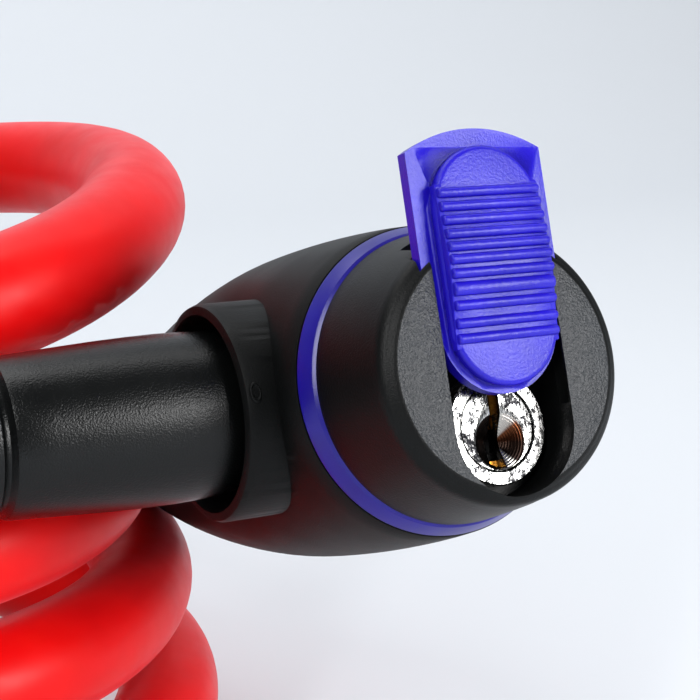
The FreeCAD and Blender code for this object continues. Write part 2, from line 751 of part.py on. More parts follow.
def socket_seal():
    """Rubber ring in the gland at the mouth of the socket bore."""
    middle = size("pin_radius") + size("running_fit") + size("seal_radius")
    outward = size("body_radius") - size("seal_radius") - size("free_gap") / 2
    ring = Part.makeTorus(middle, size("seal_radius") - size("seal_squeeze"), Vector(-outward, 0, 0), Vector(1, 0, 0))
    return piece("socket_seal", ring)


socket_seal()
turned_socket("locking_pin", [
    ("-@pin_tip", "0"),
    ("-@pin_tip", "@pin_radius - @pin_chamfer"),
    ("-@pin_tip + @pin_chamfer", "@pin_radius"),
    ("-@pin_groove_half", "@pin_radius"),
    ("-@pin_groove_half", "@pin_groove_radius"),
    ("@pin_groove_half", "@pin_groove_radius"),
    ("@pin_groove_half", "@pin_radius"),
    ("@pin_shoulder", "@pin_radius"),
    ("@pin_shoulder", "@pin_stub_radius"),
    ("@pin_shoulder + @pin_stub", "@pin_stub_radius"),
    ("@pin_shoulder + @pin_stub", "0"),
])
turned_socket("pin_ferrule", [
    ("@pin_shoulder", "@pin_stub_radius"),
    ("@pin_shoulder", "@pin_ferrule_radius"),
    ("@pin_ferrule_end", "@pin_ferrule_radius"),
    ("@pin_ferrule_end", "@rope_radius"),
    ("@pin_shoulder + @pin_stub", "@rope_radius"),
    ("@pin_shoulder + @pin_stub", "@pin_stub_radius"),
])
turned_socket("rope_plug_end", [
    ("@pin_shoulder + @pin_stub", "0"),
    ("@pin_shoulder + @pin_stub", "@rope_radius"),
    ("@boot_end", "@rope_radius"),
    ("@boot_end", "0"),
])
turned_socket("boot", [
    ("@boot_nose", "@pin_radius"),
    ("@boot_nose", "@boot_max_radius - @boot_round"),
    ("@boot_nose + @boot_round / 5", "@boot_max_radius - @boot_round * 0.6"),
    ("@boot_nose + @boot_round * 0.65", "@boot_max_radius - @boot_round / 5"),
    ("@boot_nose + @boot_round * 1.5", "@boot_max_radius - @boot_round / 25"),
    ("@boot_max", "@boot_max_radius"),
    ("(@boot_max * 2 + @boot_groove) / 3", "(@boot_max_radius * 3 + @boot_groove_radius) / 4"),
    ("@boot_groove - @groove_half - 0.1", "@boot_groove_radius + @groove_depth"),
    ("@boot_groove - @groove_half", "@boot_groove_radius - @groove_depth"),
    ("@boot_groove + @groove_half", "@boot_groove_radius - @groove_depth"),
    ("@boot_groove + @groove_half + 0.1", "@boot_groove_radius + @groove_depth"),
    ("@boot_end", "@boot_end_radius"),
    ("@boot_end", "@rope_radius"),
    ("@pin_ferrule_end", "@rope_radius"),
    ("@pin_ferrule_end", "@pin_ferrule_radius"),
    ("@pin_shoulder", "@pin_ferrule_radius"),
    ("@pin_shoulder", "@pin_radius"),
])

# Cable --------------------------------------------------------------------------------------------

# Points chosen by hand. The lead leaves the boot, rounds the coil outside it and makes the loose turn.
LEAD_BEND = [
    (-18.2, -50.0, 58.0), (-45.9, -26.5, 60.0), (-52.4, 9.2, 63.0), (-33.4, 39.8, 67.5), (0.0, 46.0, 72.0),
    (26.0, 31.0, 75.5), (39.8, 7.0, 76.5), (35.0, -20.2, 74.0), (13.8, -38.0, 69.0), (-13.8, -38.0, 63.5),
    (-35.0, -20.2, 59.5), (-39.8, 7.0, 56.0), (-26.0, 31.0, 50.5), (0.0, 40.4, 42.5),
]
# From the stack round its far side and up to the tail of the head.
TAIL_BEND = [(43.0, 21.0, 36.3), (31.0, 40.0, 25.0), (9.0, 49.5, 13.5), (-16.0, 45.0, 8.5), (-31.0, 26.0, 7.0)]


def in_world(point):
    return HEAD.multVec(point)


def bend_radius(before, corner, after):
    """Radius of the arc at one point of a tube's path."""
    shorter = min((corner - before).Length, (after - corner).Length)
    turn = (corner - before).getAngle(after - corner)
    return BEND_SHARE * shorter / tan(turn / 2), turn


def tube_path(points):
    """Straight runs joined by tangent arcs."""
    edges = []
    last = points[0]
    radii = []
    for before, corner, after in zip(points, points[1:], points[2:]):
        radius, turn = bend_radius(before, corner, after)
        radii.append(radius)
        into = (corner - before).normalize()
        out = (after - corner).normalize()
        setback = radius * tan(turn / 2)
        start = corner - into * setback
        end = corner + out * setback
        inward = (out - into).normalize()
        middle = corner + inward * (radius / cos(turn / 2) - radius)
        edges.append(Part.makeLine(last, start))
        edges.append(Part.Arc(start, middle, end).toShape())
        last = end
    edges.append(Part.makeLine(last, points[-1]))
    return Part.Wire(edges), radii


def cable(name, points):
    """A cable along a path, with its bend radii and its volume against section x length printed."""
    path, radii = tube_path(points)
    section = Part.Wire(Part.makeCircle(size("cable_radius"), points[0], points[1] - points[0]))
    tube = path.makePipeShell([section], True, False)
    expected = pi * size("cable_radius") ** 2 * path.Length
    print(name, "length", round(path.Length, 1), "least radius", round(min(radii), 1),
          "volume share", round(tube.Volume / expected, 4))
    piece(name, tube, Placement())
    return path.Length


boot_end = in_world(Vector(-size("boot_end"), 0, 0))
lead_length = cable("cable_lead", [boot_end] + [Vector(*point) for point in LEAD_BEND])
tail_start = in_world(forward_point(0, 0, -size("grommet_seat")))
tail_length = cable("cable_tail", [tail_start] + [Vector(*point) for point in TAIL_BEND])


def cable_coil():
    """The stacked turns as one ring, higher on the side of the head and clear of the barrel."""
    outer = size("coil_radius") + size("cable_radius")
    inner = size("coil_radius") - size("cable_radius")
    tall = size("coil_top") + size("coil_tilt") + 5
    ring = Part.makeCylinder(outer, tall).cut(Part.makeCylinder(inner, tall))
    lean = degrees(atan2(size("coil_tilt"), size("coil_radius")))
    above = Part.makeBox(8 * outer, 8 * outer, 4 * outer, Vector(-4 * outer, -4 * outer, 0))
    high_side = Vector(0.96, 0.28, 0)
    above.rotate(Vector(), Vector(-high_side.y, high_side.x, 0), -lean)
    above.translate(Vector(0, 0, size("coil_top")))
    ring = ring.cut(above)
    gap = size("barrel_gap")
    start = in_world(forward_point(0, 0, 10))
    widest = in_world(forward_point(0, 0, -size("barrel_widest_back")))
    end = in_world(forward_point(0, 0, -size("tail_back") - 4))
    room = rod(start, widest, size("barrel_radius") + gap)
    line = end - widest
    room = room.fuse(Part.makeCone(size("barrel_radius") + gap, size("tail_radius") + 2 * gap, line.Length,
                                   widest, line))
    middle = in_world(forward_point(0, 0, -30))
    room = room.fuse(rod(widest, middle, size("barrel_radius") + gap))
    below = room.BoundBox
    lift = Part.makeBox(below.XLength, below.YLength, below.ZMax, Vector(below.XMin, below.YMin, middle.z))
    ring = ring.cut(room.fuse(lift.common(ring).common(lift)))
    solids = sorted(ring.Solids, key=lambda solid: solid.Volume)
    return piece("cable_coil", solids[-1], Placement())


cable_coil()

# Build, check and export --------------------------------------------------------------------------

doc.recompute()
for item in doc.Objects:
    for trouble in ("Invalid", "Error"):
        if trouble in item.State:
            raise RuntimeError(f"{item.Name} is {trouble}")
for item in parts:
    shape = item.Shape
    if shape.isNull() or not shape.isValid():
        raise RuntimeError(f"{item.Label} has no valid shape")
    shape.exportStep(f"parts/{item.Label}.step")
print("parts", len(parts))
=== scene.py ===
# %% [markdown]
# # Spiral cable lock
# A lock head the shape of a small barrel hangs on a coil of red cable. This lesson models its shells,
# cover and cylinder by hand-style operators, and its cable along one smooth curve. First comes the
# fixed frame: every CAD piece at its true place, in metres.

import json
import math

import bmesh
import bpy
from mathutils import Matrix, Vector


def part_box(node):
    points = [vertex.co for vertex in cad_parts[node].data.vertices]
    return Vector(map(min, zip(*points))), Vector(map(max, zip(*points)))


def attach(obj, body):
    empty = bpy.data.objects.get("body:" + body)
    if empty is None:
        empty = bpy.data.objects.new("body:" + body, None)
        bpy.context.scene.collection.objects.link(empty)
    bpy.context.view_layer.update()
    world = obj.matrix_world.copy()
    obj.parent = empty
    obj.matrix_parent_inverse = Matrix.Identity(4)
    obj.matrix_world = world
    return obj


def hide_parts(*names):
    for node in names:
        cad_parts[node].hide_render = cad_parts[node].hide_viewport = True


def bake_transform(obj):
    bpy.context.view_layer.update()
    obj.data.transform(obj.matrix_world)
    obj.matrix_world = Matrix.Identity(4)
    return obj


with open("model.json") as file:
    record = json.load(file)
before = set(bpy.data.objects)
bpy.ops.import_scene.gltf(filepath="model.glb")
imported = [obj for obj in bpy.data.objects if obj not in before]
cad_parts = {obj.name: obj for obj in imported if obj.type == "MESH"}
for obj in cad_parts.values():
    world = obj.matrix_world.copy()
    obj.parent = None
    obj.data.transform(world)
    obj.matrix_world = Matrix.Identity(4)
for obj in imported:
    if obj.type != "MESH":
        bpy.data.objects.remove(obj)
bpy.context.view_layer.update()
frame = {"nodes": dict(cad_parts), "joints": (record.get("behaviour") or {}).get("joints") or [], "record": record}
MM = 0.001
joints = {joint["name"]: joint for joint in frame["joints"]}

# %% [markdown]
# The head leans, so its pieces are modelled upright on a bench of their own and then set into the
# head's frame: X across, Y to the rear along the barrel, Z up along the cover's slide. The frame is
# read from the joints, so nothing is placed by eye.

# %% The head's own frame
head_up = Vector(joints["cover_slide"]["axis"]).normalized()
head_rear = Vector(joints["key_turn"]["axis"]).normalized()
head_side = head_rear.cross(head_up)
plug_axis_point = Vector(joints["key_turn"]["pos_m"])
pin_low, pin_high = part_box("locking_pin")
pin_middle = (pin_low + pin_high) / 2
head_place = Vector((plug_axis_point.x, pin_middle.y, pin_middle.z))
HEAD = Matrix((head_side, head_rear, head_up)).transposed().to_4x4()
HEAD.translation = head_place
CYLINDER_DROP = -(plug_axis_point - head_place).dot(head_up) / MM
# A turned piece stands on the bench along Z; this lays its Z along the barrel, pointing forward.
FORWARD = HEAD @ Matrix.Rotation(math.radians(90), 4, "X")
# And this lays its Z along the socket, pointing outwards.
OUTWARD = HEAD @ Matrix.Rotation(math.radians(-90), 4, "Y")
# This turns a bench piece so that its Z points out of the socket while it is still on the bench.
SIDEWAYS = Matrix.Rotation(math.radians(90), 4, "X").inverted() @ Matrix.Rotation(math.radians(-90), 4, "Y")
print("cylinder axis below the barrel axis", round(CYLINDER_DROP, 2), "mm")

# %% [markdown]
# ## Bench tools
# A turned part is a circle that is extruded and scaled ring by ring, as on a lathe. Small helpers
# keep the operator calls readable.

# %% Bench tools
ROUND = 160


def deselect():
    if bpy.context.mode != "OBJECT":
        bpy.ops.object.mode_set(mode="OBJECT")
    bpy.ops.object.select_all(action="DESELECT")


def pick(piece):
    deselect()
    piece.select_set(True)
    bpy.context.view_layer.objects.active = piece


def turned(name, rings, closed=False, segments=ROUND):
    """A lathe-turned solid along Z. Rings are (radius, height) in mm; closed joins the last to the first."""
    deselect()
    radius, height = rings[0]
    bpy.ops.mesh.primitive_circle_add(vertices=segments, radius=radius * MM, location=(0, 0, 0))
    piece = bpy.context.active_object
    piece.name = name
    bpy.ops.object.mode_set(mode="EDIT")
    bpy.ops.transform.translate(value=(0, 0, height * MM))
    path = rings[1:] + rings[:1] if closed else rings[1:]
    for next_radius, next_height in path:
        rise = (0, 0, (next_height - height) * MM)
        bpy.ops.mesh.extrude_region_move(TRANSFORM_OT_translate={"value": rise})
        scale = next_radius / radius
        bpy.ops.transform.resize(value=(scale, scale, 1), center_override=(0, 0, next_height * MM))
        radius, height = next_radius, next_height
    bpy.ops.mesh.select_all(action="SELECT")
    if closed:
        bpy.ops.mesh.remove_doubles(threshold=0.001 * MM)
    else:
        bpy.ops.mesh.fill_holes(sides=0)
    bpy.ops.mesh.select_all(action="SELECT")
    bpy.ops.mesh.normals_make_consistent(inside=False)
    bpy.ops.object.mode_set(mode="OBJECT")
    return piece


def block(name, low, high):
    """A box between two corners in mm."""
    deselect()
    middle = [(a + b) / 2 * MM for a, b in zip(low, high)]
    bpy.ops.mesh.primitive_cube_add(size=1, location=middle)
    piece = bpy.context.active_object
    piece.name = name
    piece.scale = [(b - a) * MM for a, b in zip(low, high)]
    bpy.ops.object.transform_apply(location=True, rotation=True, scale=True)
    return piece


def set_in(piece, place):
    """Put a bench piece into the row frame, with its place in its mesh."""
    pick(piece)
    bpy.ops.object.transform_apply(location=True, rotation=True, scale=True)
    piece.matrix_world = place
    bpy.ops.object.transform_apply(location=True, rotation=True, scale=True)
    return piece


def join_shape(piece, tool, operation):
    """Cut, join or intersect with another solid, which is used up."""
    pick(piece)
    change = piece.modifiers.new("shape", "BOOLEAN")
    change.operation = operation
    change.solver = "EXACT"
    change.object = tool
    bpy.ops.object.modifier_apply(modifier=change.name)
    bpy.data.objects.remove(tool)
    return piece


def soften(piece, width, segments=3, angle=35):
    """Round the sharp edges."""
    pick(piece)
    change = piece.modifiers.new("round", "BEVEL")
    change.width = width * MM
    change.segments = segments
    change.limit_method = "ANGLE"
    change.angle_limit = math.radians(angle)
    change.use_clamp_overlap = True
    bpy.ops.object.modifier_apply(modifier=change.name)


def smooth(piece, angle=32):
    pick(piece)
    bpy.ops.object.shade_smooth_by_angle(angle=math.radians(angle))


def finish_faces(piece, material, chosen):
    """Give a second material to the faces that pass a test of their middle and normal on the bench."""
    piece.data.materials.append(material)
    to_bench = FORWARD.inverted()
    for face in piece.data.polygons:
        if chosen(to_bench @ face.center, to_bench.to_3x3() @ face.normal):
            face.material_index = 1


def dress(piece, material, slot, body, *nodes):
    """Give a finished piece its material and the body it rides on, and hide the nodes it stands for. The slot
    argument is not used.
    """
    piece.data.materials.clear()
    piece.data.materials.append(material)
    if body:
        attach(piece, body)
    if nodes:
        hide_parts(*nodes)
    print(piece.name, len(piece.data.polygons), "faces")
    return piece


# %% [markdown]
# ## Materials
# Each finish starts from the real one: spark-eroded black ABS, translucent soft PVC, nickel-chrome
# plate that keys have scratched, brass wafers and zinc-plated steel.

# %% Material tools
def linear(code):
    """A linear colour from an sRGB hex value."""
    parts = [int(code[k:k + 2], 16) / 255 for k in (1, 3, 5)]
    return [p / 12.92 if p <= 0.04045 else ((p + 0.055) / 1.055) ** 2.4 for p in parts] + [1.0]


def add(tree, kind, links=None, inputs=None, **settings):
    """Add one node with its settings, its input values and its links."""
    node = tree.nodes.new(kind)
    for key, value in settings.items():
        setattr(node, key, value)
    for key, value in (inputs or {}).items():
        node.inputs[key].default_value = value
    for key, socket in (links or {}).items():
        tree.links.new(socket, node.inputs[key])
    return node


def start_material(name, **values):
    """A material whose Principled sockets are set directly. Returns it with its tree and shader."""
    material = bpy.data.materials.new(name)
    material.use_nodes = True
    tree = material.node_tree
    shader = tree.nodes["Principled BSDF"]
    for key, value in values.items():
        shader.inputs[key.replace("_", " ")].default_value = value
    return material, tree, shader


def ramp(tree, source, stops):
    """A colour ramp with (position, colour) stops."""
    node = add(tree, "ShaderNodeValToRGB", links={0: source})
    points = node.color_ramp.elements
    points[0].position, points[0].color = stops[0]
    points[1].position, points[1].color = stops[-1]
    for position, colour in stops[1:-1]:
        points.new(position).color = colour
    return node.outputs["Color"]


def grey(value):
    return (value, value, value, 1.0)


def place_of(tree):
    return add(tree, "ShaderNodeTexCoord").outputs["Object"]


# %% Moulded black ABS
def black_abs(name, grain, depth, roughness, gloss, dark="#050606", light="#090A0A", rise=0.03):
    """ABS from a spark-eroded mould: a pebbled grain that breaks highlights into sparkles.
    The real grain is near 0.08 mm; it is drawn at the given size in mm so that it shows."""
    material, tree, shader = start_material(name, IOR=1.52, Specular_IOR_Level=gloss)
    where = place_of(tree)
    pebbles = add(tree, "ShaderNodeTexVoronoi", links={"Vector": where},
                  inputs={"Scale": 1 / (grain * MM), "Randomness": 1.0}, feature="SMOOTH_F1")
    fine = add(tree, "ShaderNodeTexNoise", links={"Vector": where},
               inputs={"Scale": 1 / (grain * 0.7 * MM), "Detail": 3.0})
    broad = add(tree, "ShaderNodeTexNoise", links={"Vector": where},
                inputs={"Scale": 1 / (9 * MM), "Detail": 4.0})
    height = add(tree, "ShaderNodeMath", links={0: pebbles.outputs["Distance"], 1: fine.outputs[0]},
                 operation="ADD")
    bump = add(tree, "ShaderNodeBump", links={"Height": height.outputs[0]},
               inputs={"Strength": depth, "Distance": rise * MM})
    tree.links.new(bump.outputs["Normal"], shader.inputs["Normal"])
    tone = ramp(tree, broad.outputs[0], [(0.3, linear(dark)), (0.75, linear(light))])
    tree.links.new(tone, shader.inputs["Base Color"])
    rub = ramp(tree, broad.outputs[0], [(0.25, grey(roughness - 0.05)), (0.8, grey(roughness + 0.06))])
    tree.links.new(rub, shader.inputs["Roughness"])
    return material


shell_finish = black_abs("abs_black_satin_grain", 0.16, 0.60, 0.50, 0.14)
cap_finish = black_abs("abs_black_satin_cap", 0.16, 0.6, 0.42, 0.17)
# The cheeks are the same black ABS with a coarser grain; their lighter grey colour is painted light, for the
# front-right lamp they mirror.
cheek_painted_light_finish = black_abs("abs_black_coarse_grain_cheeks_painted_light", 0.2, 1.0, 0.40, 0.55, "#16191D", "#24282D", 0.07)
boot_finish = black_abs("abs_black_overmould_grain", 0.17, 0.70, 0.29, 0.27, "#030404", "#060707")


# %% Moulded blue ABS
def blue_abs(name, colour, bright, grain, depth, roughness):
    """Royal blue ABS, a little translucent at thin edges, grained like the cap."""
    material, tree, shader = start_material(name, IOR=1.53, Specular_IOR_Level=0.38, Subsurface_Weight=0.08,
                                            Subsurface_Scale=0.6 * MM)
    where = place_of(tree)
    fine = add(tree, "ShaderNodeTexNoise", links={"Vector": where},
               inputs={"Scale": 1 / (grain * MM), "Detail": 3.0, "Roughness": 0.6})
    broad = add(tree, "ShaderNodeTexNoise", links={"Vector": where},
                inputs={"Scale": 1 / (5 * MM), "Detail": 4.0})
    bump = add(tree, "ShaderNodeBump", links={"Height": fine.outputs[0]},
               inputs={"Strength": depth, "Distance": 0.05 * MM})
    tree.links.new(bump.outputs["Normal"], shader.inputs["Normal"])
    tone = ramp(tree, broad.outputs[0], [(0.3, linear(colour)), (0.7, linear(bright))])
    tree.links.new(tone, shader.inputs["Base Color"])
    shader.inputs["Roughness"].default_value = roughness
    return material


cover_finish = blue_abs("abs_royal_blue_grain", "#1608A4", "#2010BC", 0.22, 0.8, 0.34)
ring_finish = blue_abs("abs_royal_blue_smooth", "#150A7C", "#1C0F90", 0.3, 0.12, 0.28)


# %% Scratched chrome plate
def chrome_plate():
    """Nickel-chrome on a die-cast face, crossed by key scratches. Its grime is darker than real grime,
    so that it still shows where the face mirrors a lamp."""
    material, tree, shader = start_material("chrome_plate_scratched", Metallic=1.0)
    where = place_of(tree)
    marks = []
    for angle, size, stretch in ((20, 0.9, 14.0), (75, 0.7, 18.0), (140, 1.1, 11.0)):
        spin = math.radians(angle)
        turn = add(tree, "ShaderNodeMapping", links={"Vector": where},
                   inputs={"Rotation": (spin * 0.3, spin, spin * 0.7), "Scale": (stretch, 1.0, 1.0)})
        noise = add(tree, "ShaderNodeTexNoise", links={"Vector": turn.outputs[0]},
                    inputs={"Scale": 1 / (size * MM), "Detail": 2.0, "Distortion": 0.4})
        marks.append(ramp(tree, noise.outputs[0], [(0.60, grey(0.0)), (0.66, grey(1.0))]))
    pair = add(tree, "ShaderNodeMath", links={0: marks[0], 1: marks[1]}, operation="MAXIMUM")
    scratches = add(tree, "ShaderNodeMath", links={0: pair.outputs[0], 1: marks[2]}, operation="MAXIMUM")
    blotch = add(tree, "ShaderNodeTexNoise", links={"Vector": where},
                 inputs={"Scale": 1 / (1.6 * MM), "Detail": 6.0, "Roughness": 0.7})
    worn = ramp(tree, blotch.outputs[0], [(0.42, grey(0.0)), (0.55, grey(1.0))])
    depth = add(tree, "ShaderNodeMath", links={0: scratches.outputs[0], 1: worn}, operation="MULTIPLY")
    bump = add(tree, "ShaderNodeBump", links={"Height": depth.outputs[0]},
               inputs={"Strength": 0.6, "Distance": 0.03 * MM})
    bump.invert = True
    tree.links.new(bump.outputs["Normal"], shader.inputs["Normal"])
    pits = add(tree, "ShaderNodeTexNoise", links={"Vector": where},
               inputs={"Scale": 1 / (0.28 * MM), "Detail": 4.0, "Roughness": 0.7})
    worn_pits = add(tree, "ShaderNodeMath", links={0: pits.outputs[0], 1: worn}, operation="MULTIPLY")
    grime = add(tree, "ShaderNodeMath", links={0: worn_pits.outputs[0], 1: scratches.outputs[0]},
                inputs={2: 0.5}, operation="ADD")
    tone = ramp(tree, grime.outputs[0], [(0.36, linear("#B4B3B1")), (0.44, linear("#3C3C3E")),
                                         (0.52, linear("#1C1C1E")), (1.0, linear("#0E0E10"))])
    tree.links.new(tone, shader.inputs["Base Color"])
    rub = ramp(tree, worn, [(0.0, grey(0.12)), (1.0, grey(0.34))])
    tree.links.new(rub, shader.inputs["Roughness"])
    return material


def turned_dish():
    """The drilled dish with its concentric tool marks. A turned cone mirrors its surroundings in
    wedges; those dark, brown and pale wedges are coloured in by angle here, as a stand-in."""
    material, tree, shader = start_material("chrome_turned_dish", Metallic=1.0, Roughness=0.22)
    dish_place = FORWARD @ Vector((DISH[0] * MM, (DISH[1] - CYLINDER_DROP) * MM, 22.0 * MM))
    inward = add(tree, "ShaderNodeMapping", links={"Vector": place_of(tree)},
                 inputs={"Location": dish_place, "Rotation": FORWARD.to_euler()}, vector_type="TEXTURE")
    rings = add(tree, "ShaderNodeTexWave", links={"Vector": inward.outputs[0]},
                inputs={"Scale": 0.32 / (0.22 * MM), "Distortion": 0.15}, wave_type="RINGS",
                rings_direction="Z")
    bump = add(tree, "ShaderNodeBump", links={"Height": rings.outputs["Fac"]},
               inputs={"Strength": 0.5, "Distance": 0.03 * MM})
    tree.links.new(bump.outputs["Normal"], shader.inputs["Normal"])
    round_it = add(tree, "ShaderNodeTexGradient", links={"Vector": inward.outputs[0]},
                   gradient_type="RADIAL")
    tone = ramp(tree, round_it.outputs["Fac"], [
        (0.0, linear("#0A0807")), (0.22, linear("#140E0B")), (0.25, linear("#C4C2BE")),
        (0.32, linear("#B8B4AE")), (0.36, linear("#181210")), (0.48, linear("#1E1410")),
        (0.52, linear("#3A1E12")), (0.60, linear("#5A3420")), (0.63, linear("#9A948E")),
        (0.73, linear("#B4B0AA")), (0.76, linear("#181210")), (1.0, linear("#0A0807"))])
    tree.links.new(tone, shader.inputs["Base Color"])
    return material


def metal(name, colour, dark, roughness, size=1.2):
    """A plain metal with a slight mottle."""
    material, tree, shader = start_material(name, Metallic=1.0)
    where = place_of(tree)
    mottle = add(tree, "ShaderNodeTexNoise", links={"Vector": where},
                 inputs={"Scale": 1 / (size * MM), "Detail": 5.0, "Roughness": 0.65})
    tone = ramp(tree, mottle.outputs[0], [(0.35, linear(dark)), (0.65, linear(colour))])
    tree.links.new(tone, shader.inputs["Base Color"])
    rub = ramp(tree, mottle.outputs[0], [(0.3, grey(roughness + 0.1)), (0.7, grey(roughness - 0.05))])
    tree.links.new(rub, shader.inputs["Roughness"])
    bump = add(tree, "ShaderNodeBump", links={"Height": mottle.outputs[0]},
               inputs={"Strength": 0.15, "Distance": 0.02 * MM})
    tree.links.new(bump.outputs["Normal"], shader.inputs["Normal"])
    return material


chrome_finish = chrome_plate()
# The dish is drilled off centre: its middle across and up from the plug's axis, and its radius, in mm.
DISH = (0.1, -1.15)
DISH_RADIUS = 2.55
dish_finish = turned_dish()
brass_finish = metal("brass_stamped_wafer", "#C98A34", "#8A5418", 0.30, 0.6)
zinc_finish = metal("zinc_die_cast", "#9B9EA0", "#7D8083", 0.45)
steel_finish = metal("steel_zinc_plated", "#B4B6B4", "#8F9190", 0.32)
spring_finish = metal("spring_steel_bright", "#C0C1C3", "#9D9EA0", 0.25)


# %% Rubber
def rubber():
    """Black nitrile rubber: matte, a little dusty."""
    material, tree, shader = start_material("nitrile_rubber_black", IOR=1.5)
    where = place_of(tree)
    dust = add(tree, "ShaderNodeTexNoise", links={"Vector": where},
               inputs={"Scale": 1 / (0.8 * MM), "Detail": 5.0})
    tone = ramp(tree, dust.outputs[0], [(0.35, linear("#101010")), (0.75, linear("#1D1D1E"))])
    tree.links.new(tone, shader.inputs["Base Color"])
    shader.inputs["Roughness"].default_value = 0.7
    return material


rubber_finish = rubber()


# %% Translucent red PVC and the rope that shows through it
def jacket_pvc():
    """Soft translucent PVC over a steel rope: the jacket lets part of what lies inside show through."""
    material, tree, shader = start_material("pvc_translucent_red", IOR=1.53, Alpha=0.88,
                                            Subsurface_Weight=0.5, Subsurface_Scale=2.5 * MM,
                                            Sheen_Weight=0.35, Sheen_Roughness=0.4,
                                            Specular_IOR_Level=0.22)
    shader.inputs["Subsurface Radius"].default_value = (1.0, 0.12, 0.1)
    shader.inputs["Sheen Tint"].default_value = linear("#FF9AA8")
    where = place_of(tree)
    cloud = add(tree, "ShaderNodeTexNoise", links={"Vector": where},
                inputs={"Scale": 1 / (14 * MM), "Detail": 3.0})
    tone = ramp(tree, cloud.outputs[0], [(0.3, linear("#DC0002")), (0.7, linear("#F40104"))])
    tree.links.new(tone, shader.inputs["Base Color"])
    haze = add(tree, "ShaderNodeTexNoise", links={"Vector": where},
               inputs={"Scale": 1 / (3 * MM), "Detail": 4.0})
    rub = ramp(tree, haze.outputs[0], [(0.3, grey(0.36)), (0.7, grey(0.48))])
    tree.links.new(rub, shader.inputs["Roughness"])
    return material


def rope_steel():
    """Galvanised rope strands under red plastic: their colour is painted red and orange, a painted stand-in for
    the light that the red jacket lets through onto them.
    """
    material, tree, shader = start_material("steel_rope_under_red_pvc", Metallic=0.35)
    uv = add(tree, "ShaderNodeUVMap").outputs[0]
    wires = add(tree, "ShaderNodeTexWave", links={"Vector": uv},
                inputs={"Scale": 60.0, "Distortion": 0.5}, wave_type="BANDS", bands_direction="DIAGONAL")
    where = place_of(tree)
    cloud = add(tree, "ShaderNodeTexNoise", links={"Vector": where},
                inputs={"Scale": 1 / (6 * MM), "Detail": 3.0})
    # Painted light: the red and orange tint of light through the jacket is painted into the strands' colour, in
    # random clouds.
    tone = ramp(tree, cloud.outputs[0], [(0.3, linear("#A00400")), (0.5, linear("#FF3208")),
                                         (0.72, linear("#FF7218"))])
    tree.links.new(tone, shader.inputs["Base Color"])
    bump = add(tree, "ShaderNodeBump", links={"Height": wires.outputs["Fac"]},
               inputs={"Strength": 0.4, "Distance": 0.1 * MM})
    tree.links.new(bump.outputs["Normal"], shader.inputs["Normal"])
    shader.inputs["Roughness"].default_value = 0.4
    return material


jacket_finish = jacket_pvc()
rope_finish = rope_steel()

# %% [markdown]
# ## The inner works
# The lock body, latch, pins and screws are right as the CAD has them. They only take their finishes.

# %% Finishes for the CAD pieces
SLOT_FINISH = {
    "black_abs": shell_finish, "blue_abs": cover_finish, "chrome": chrome_finish,
    "brass": brass_finish, "zinc": zinc_finish, "steel": steel_finish,
    "spring_steel": spring_finish, "black_rubber": rubber_finish, "red_pvc": jacket_finish,
}
node_slots = {part["node"]: part["material_slot"] for part in frame["record"]["subparts"]}
for node_name, node in frame["nodes"].items():
    for place in node.material_slots:
        place.material = SLOT_FINISH[node_slots[node_name]]
print("dressed", len(frame["nodes"]), "CAD nodes")

# %% [markdown]
# ## Rear shell
# One moulding: a barrel that swells behind the ring and narrows to the tail, with a short collar on
# its side for the plug. The barrel is turned, the collar is turned too and joined on, and then the
# bore and the mouth are cut. The joins get a small round, as a mould has.

# %% Rear shell
RING_BACK = 13.55
WIDEST = (16.0, 10.0)
TAIL = (9.2, 51.6)


def barrel_radius(back):
    """Radius of the shell at a distance behind the socket's axis, in mm."""
    if back < WIDEST[1]:
        share = (WIDEST[1] - back) / (WIDEST[1] + RING_BACK)
        return WIDEST[0] - (WIDEST[0] - 14.52) * share ** 2
    share = (back - WIDEST[1]) / (TAIL[1] - WIDEST[1])
    return WIDEST[0] - (WIDEST[0] - TAIL[0]) * share ** 1.7


def rear_shell():
    steps = 26
    rings = [(13.05, RING_BACK), (14.42, RING_BACK), (14.5, RING_BACK - 0.08)]
    for k in range(1, steps):
        back = -RING_BACK + (TAIL[1] - 0.8 + RING_BACK) * k / (steps - 1)
        rings.append((barrel_radius(back), -back))
    rings += [(TAIL[0] - 0.15, -TAIL[1] + 0.3), (TAIL[0] - 0.6, -TAIL[1]), (8.05, -TAIL[1])]
    rings += [(8.05, -37.0), (9.4, -37.0), (9.4, -20.8), (13.05, -20.8)]
    shell = turned("rear_shell_moulding", rings, closed=True)
    collar = turned("collar", [(10.4, 4), (10.4, 17.2), (10.2, 17.7), (9.8, 17.9), (4, 17.9)], segments=128)
    collar.matrix_world = SIDEWAYS
    join_shape(shell, collar, "UNION")
    bore = turned("bore", [(13.05, RING_BACK + 2), (13.05, -20.8)])
    join_shape(shell, bore, "DIFFERENCE")
    mouth = turned("mouth", [(9.2, 6), (9.2, 17.5), (9.6, 18.2)], segments=128)
    mouth.matrix_world = SIDEWAYS
    join_shape(shell, mouth, "DIFFERENCE")
    soften(shell, 0.18, 2, 40)
    set_in(shell, FORWARD)
    smooth(shell, 40)
    return dress(shell, shell_finish, "black_abs", "head", "rear_shell")


rear_shell()


GATE = (-16.9 * MM, 0.9 * MM, 10.33 * MM)


